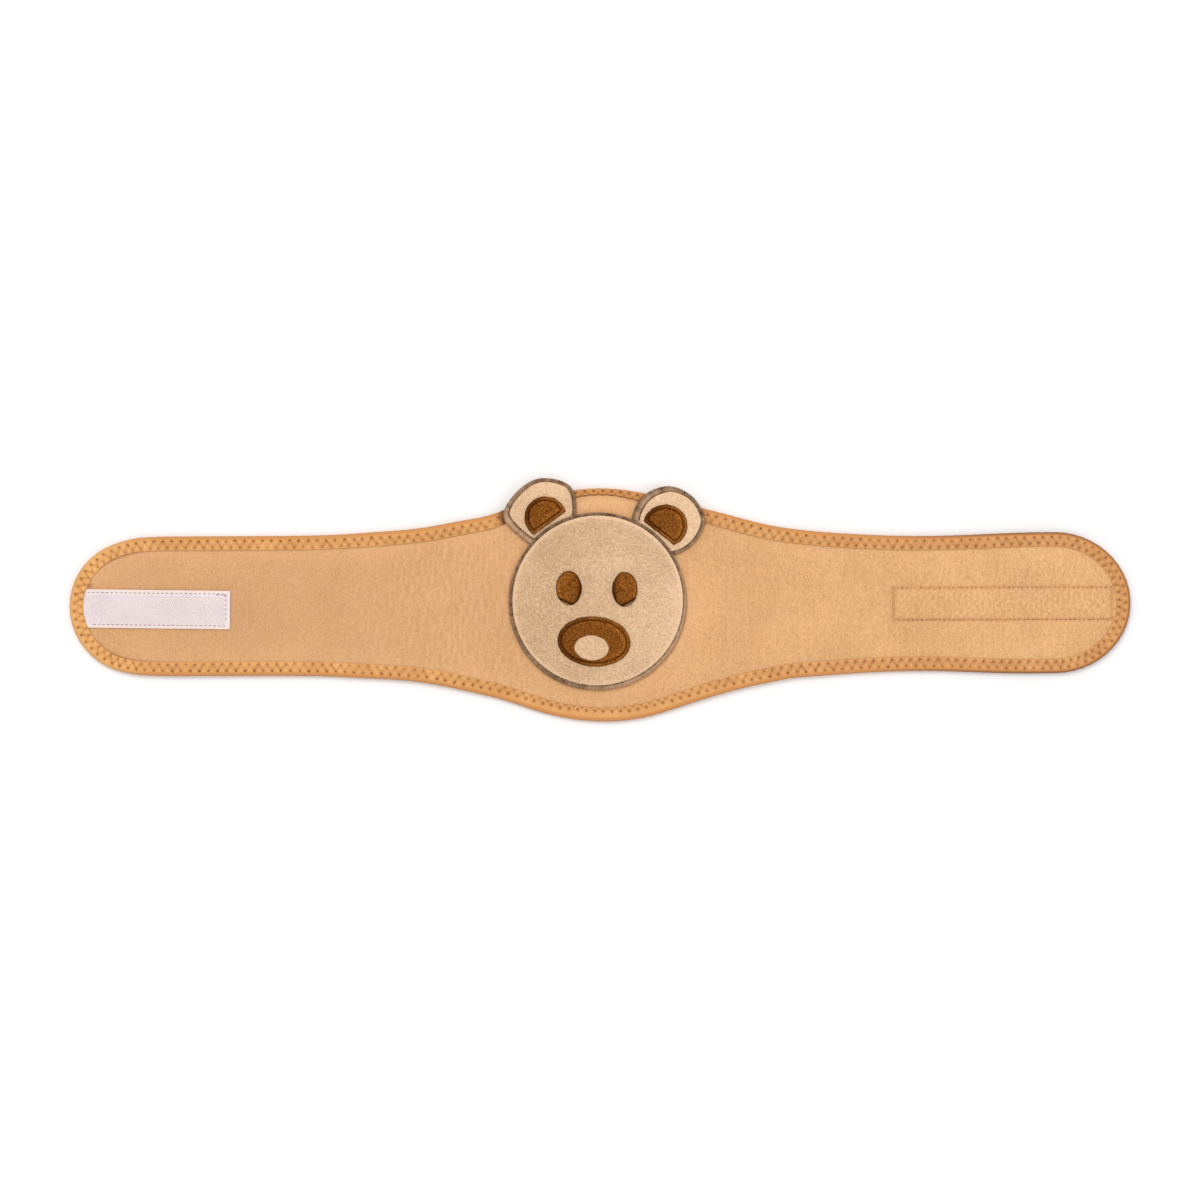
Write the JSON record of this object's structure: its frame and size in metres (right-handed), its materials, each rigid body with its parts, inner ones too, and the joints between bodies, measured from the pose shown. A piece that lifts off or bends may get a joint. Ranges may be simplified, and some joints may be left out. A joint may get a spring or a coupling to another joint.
{
  "type": "baby belly belt",
  "caption": "Padded fabric belly belt for a baby, wider over the belly, with a bound edge, hook and loop tapes at its ends and a plain teddy bear face sewn on the middle.",
  "frame": {"origin": "on the surface that the belt lies on, under the middle of its bounding box", "axes": "+X along the belt towards the end whose back carries the loop tape, +Y towards the bear's ears, +Z out of the face"},
  "size_m": [0.55, 0.1256, 0.0111],
  "materials": {
    "panel": "apricot brushed knit with a short nap",
    "binding": "darker apricot knit tape, zigzag stitched",
    "hook_tape": "white woven hook tape with plain edges",
    "loop_tape": "apricot loop pile tape",
    "plush": "cream short pile plush",
    "edging": "taupe overcast thread",
    "brown_felt": "brown felt",
    "cream_felt": "cream felt"
  },
  "bodies": {
    "root": {"belt_panel": "panel", "edge_binding": "binding", "hook_tape": "hook_tape", "loop_tape": "loop_tape", "bear_head": "plush", "head_edging": "edging", "ear_left": "plush", "ear_edging_left": "edging", "inner_ear_left": "brown_felt", "eye_left": "brown_felt", "ear_right": "plush", "ear_edging_right": "edging", "inner_ear_right": "brown_felt", "eye_right": "brown_felt", "muzzle": "brown_felt", "nose_patch": "cream_felt"}
  },
  "joints": []
}
